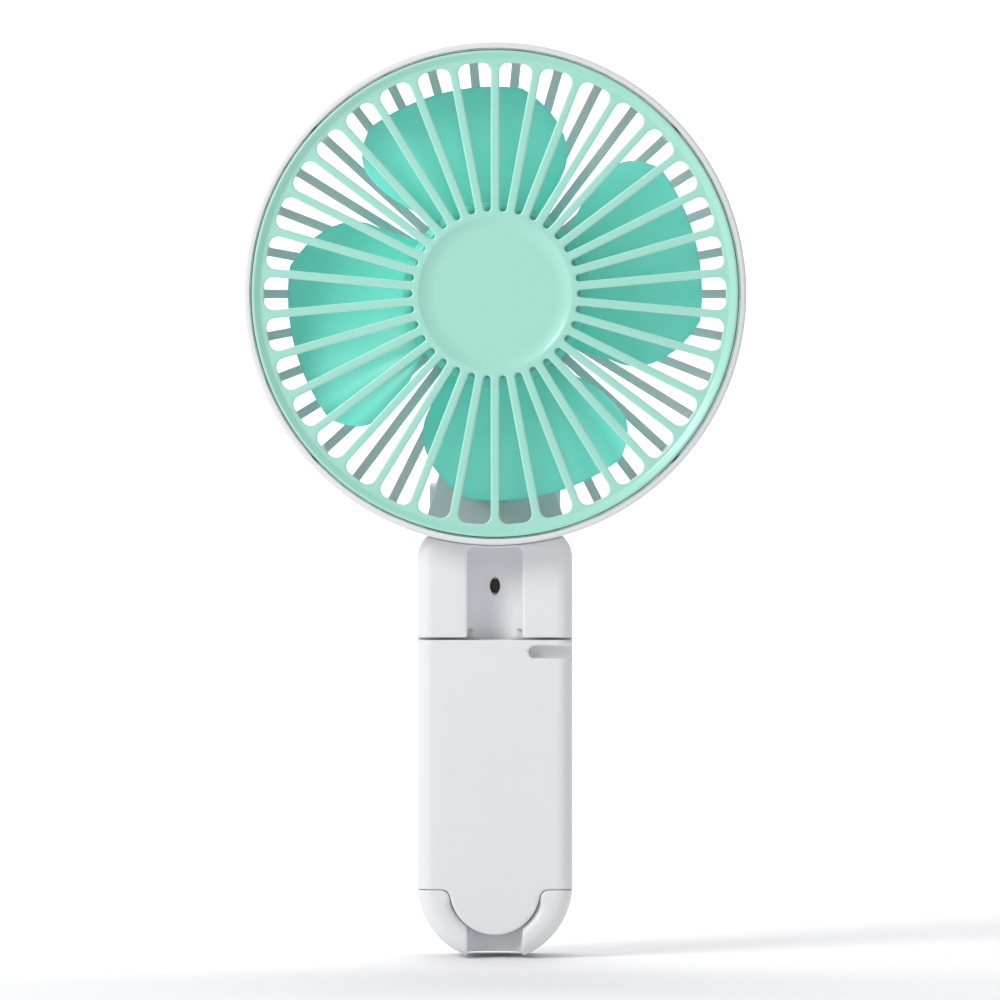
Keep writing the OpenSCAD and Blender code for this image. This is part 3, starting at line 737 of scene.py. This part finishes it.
def leg_lugs(x, y, z):
    """The two lugs that the leg's pin passes through."""
    lug = hypot(np.minimum(y - LEG_AXIS_Y, 0), z - LEG_AXIS_Z) - LUG_R
    return thick(np.maximum(lug, y - 1), np.abs(np.abs(x) - LUG_X) - LUG_HALF, 0.3)


def chassis_field(x, y, z):
    """Front half of the handle, with its channel, claws, lugs, ears and oval screw hole."""
    blank = thick(face_outline(x, z), slab(y, FRONT, BACK), EDGE_R)
    body = cut(blank, np.maximum(SPLIT_Y - y, z - COVER_TOP), 0.2)
    body = np.maximum(body, -cavity(x, y, z))
    rim = hypot(x, z - HEAD_Z)
    body = cut(body, np.maximum(rim - SADDLE_R, y - EAR_Y), 0.4)
    body = cut_leg_room(body, x, y, z)
    body = cut_channel(body, x, y, z, rim)
    body = np.maximum(join(body, ears(x, y, z), 0.8), y - BACK)
    body = np.minimum(body, leg_lugs(x, y, z))
    boss = np.maximum(screw_bosses(x, z) - 2.2, slab(y, 0, SPLIT_Y - 0.1))
    neck = np.maximum(hypot(x, z - NECK_Z) - 3, slab(y, 0, 6))
    body = np.minimum(np.minimum(body, boss), neck)
    eye = np.maximum(hypot(np.abs(x) + EYE_OFFSET, z - NECK_Z) - EYE_R, slab(y, -4, 0.7))
    body = cut(body, eye, 0.25)
    screw = np.maximum(hypot(x, z - NECK_Z) - 1.6, slab(y, 0.5, 1.6))
    body = np.maximum(body, -screw)
    from_fold = hypot(y - FOLD_Y, z - FOLD_Z)
    body = np.maximum(body, FOLD_PIN_R - from_fold)
    body = cut(body, np.maximum(from_fold - 2.2, EAR[1] - 1 - np.abs(x)), 0.15)
    body = np.maximum(body, LEG_PIN_R - hypot(y - LEG_AXIS_Y, z - LEG_AXIS_Z))
    return meet(body, -z, 0.2)


def back_cover_field(x, y, z):
    """Back half of the handle, with its screw seats and holes for button, light and port."""
    blank = thick(face_outline(x, z), slab(y, FRONT, BACK), EDGE_R)
    body = meet(blank, SPLIT_Y + 0.1 - y, 0.2)
    body = meet(body, slab(z, FLOOR_Z, COVER_TOP - 0.15), 0.3)
    body = np.maximum(body, -cavity(x, y, z))
    from_screw = screw_bosses(x, z)
    boss = np.maximum(from_screw - 2.6, slab(y, SPLIT_Y + 0.1, BACK - 1))
    body = np.maximum(np.minimum(body, boss), 1.1 - from_screw)
    body = cut(body, np.maximum(from_screw - 2.05, BACK - SEAT_DEPTH - y), 0.3)
    button = np.maximum(hypot(x, z - BUTTON_Z) - (BUTTON_R + 0.05), 10 - y)
    light = np.maximum(hypot(x, z - LIGHT_Z) - 1, 10 - y)
    port = np.maximum(box_2d(x, y - PORT_Y, 4.65, 1.75, 1.7), z - 6)
    return cut(cut(cut(body, button, 0.5), light, 0.15), port, 0.4)


def leg_field(x, y, z):
    """The leg's outer shell, hollow behind, with the lanyard slot and clearance for the lugs."""
    bar = thick(np.abs(x) - HALF_W, slab(y, FRONT, BACK), EDGE_R)
    body = meet(bar, leg_outline(x, z, 0), 0.28)
    body = meet(body, y - LEG_BACK, 0.2)
    slot = hypot(np.minimum(x - SLOT_X, 0), z - SLOT_Z) - SLOT_R
    body = cut(body, np.maximum(slot, y - SLOT_FLOOR), 0.2)
    pocket = np.maximum(np.maximum(np.abs(x) - 13.5, slab(z, 17, 61)), -6.3 - y)
    lugs = np.maximum(np.maximum(np.abs(np.abs(x) - LUG_X) - (LUG_HALF + 0.3), 65.1 - z), -6.3 - y)
    pad = np.maximum(np.maximum(np.abs(x) - 4.6, slab(z, 6.6, 12)), LEG_BACK - 0.8 - y)
    pin = np.maximum(hypot(y - LEG_AXIS_Y, z - LEG_AXIS_Z) - 0.8, np.abs(x) - 9)
    for hollow in (pocket, lugs, pad, pin):
        body = np.maximum(body, -hollow)
    return body


def handle():
    """The chassis, its back cover and the fold-out leg, each a moulded shell."""
    step = 0.26
    shells = (("chassis", chassis_field, "handle"), ("back_cover", back_cover_field, "handle"),
              ("leg_shell", leg_field, "leg"))
    for node, field, body in shells:
        low, high = node_box(node)
        points, faces = solid(field, low, high, step, 0.012)
        add_mesh(node, points, faces, body, "white_plastic", node)


def power_button():
    """Dished round button in the back cover."""
    low, high = BUTTON_LOW, BUTTON_HIGH
    centre = (low[2] + high[2]) / 2
    top, flange, flange_r = high[1], low[1] + 0.6, 5.2
    profile = rounded([(0, top - 0.45, 0), (2.4, top - 0.4, 3), (4.1, top, 0.4),
                       (BUTTON_R, top - 0.2, 0.2), (BUTTON_R, flange, 0), (flange_r, flange, 0.1),
                       (flange_r, low[1], 0.1), (0, low[1], 0)])
    points, faces = lathe(profile, count=96)
    add_mesh("power_button", [(x, z, centre + y) for x, y, z in points], faces, "button", "button_plastic",
             "power_button")


def keep_cad_nodes():
    """CAD nodes that stay as they are get their slot's material, and a small bevel on hard edges."""
    for part in frame["record"]["subparts"]:
        node = frame["nodes"][part["node"]]
        if node.hide_render:
            continue
        node.data.materials.clear()
        node.data.materials.append(MATERIALS[part["material_slot"]])
        bevel = node.modifiers.new("edges", "BEVEL")
        bevel.width = 0.08 * MM
        bevel.segments = 2
        bevel.limit_method = "ANGLE"
        bevel.angle_limit = math.radians(40)
        bevel.harden_normals = True


# ---------- studio ----------


def soft_light(name, place, target, size, power):
    """A round area light that points from place to target."""
    data = bpy.data.lights.new(name, "AREA")
    data.shape = "DISK"
    data.size = size
    data.energy = power
    lamp = bpy.data.objects.new(name, data)
    bpy.context.scene.collection.objects.link(lamp)
    lamp.location = place
    lamp.rotation_euler = look(place, target)


def look(place, target):
    """Rotation that points an object's -Z axis from place to target, with its top up."""
    x, y, z = (t - p for p, t in zip(place, target))
    return math.atan2(math.hypot(x, y), -z), 0, math.atan2(y, x) - math.pi / 2


def floor():
    """Pale floor that curves up into a wall far behind."""
    bend = 1.2
    profile = [(-4, 0), (bend, 0)]
    profile += [(bend + bend * math.sin(t), bend - bend * math.cos(t))
                for t in np.linspace(0.08, math.pi / 2, 24)]
    profile.append((2 * bend, 5))
    points = [(x, y, z) for y, z in profile for x in (-5, 5)]
    mesh = bpy.data.meshes.new("floor")
    mesh.from_pydata(points, [], grid_faces(len(profile), 2))
    mesh.polygons.foreach_set("use_smooth", [True] * len(mesh.polygons))
    sheet = bpy.data.objects.new("floor", mesh)
    bpy.context.scene.collection.objects.link(sheet)
    mesh.materials.append(plastic("studio_paper", (0.92, 0.92, 0.93), 0.9))
    sheet.location.z = -0.0005


def studio():
    """Soft key from the upper left, weak fill from the right, lit backdrop, white surroundings."""
    target = (0, 0, 0.11)
    soft_light("key", (-1.05, -0.9, 0.9), target, 0.7, 14)
    soft_light("fill", (1.2, -1.1, 0.4), target, 1.2, 0.8)
    soft_light("backdrop", (0, 0.9, 1.5), (0, 2.2, 0.2), 1.5, 30)
    world = bpy.data.worlds.new("studio")
    world.use_nodes = True
    world.node_tree.nodes["Background"].inputs["Color"].default_value = (1, 1, 1, 1)
    world.node_tree.nodes["Background"].inputs["Strength"].default_value = 0.5
    bpy.context.scene.world = world
    bpy.context.scene.view_settings.view_transform = "Standard"


def camera():
    """At the front, a degree above the horizon, the frame a little taller than the fan."""
    distance, frame_height, elevation = 2.2, 0.2202, math.radians(1)
    target = (1.1 * MM, 0, 100.2 * MM)
    data = bpy.data.cameras.new("camera")
    data.sensor_width = 36
    data.lens = 36 * distance / frame_height
    data.clip_end = 20
    eye = bpy.data.objects.new("camera", data)
    bpy.context.scene.collection.objects.link(eye)
    eye.location = (target[0], -distance * math.cos(elevation), target[2] + distance * math.sin(elevation))
    eye.rotation_euler = look(eye.location, target)
    bpy.context.scene.camera = eye


front_grille()
rim_ring()
rear_housing()
motor_cap()
hinge_block()
impeller()
handle()
power_button()
keep_cad_nodes()
floor()
studio()
camera()
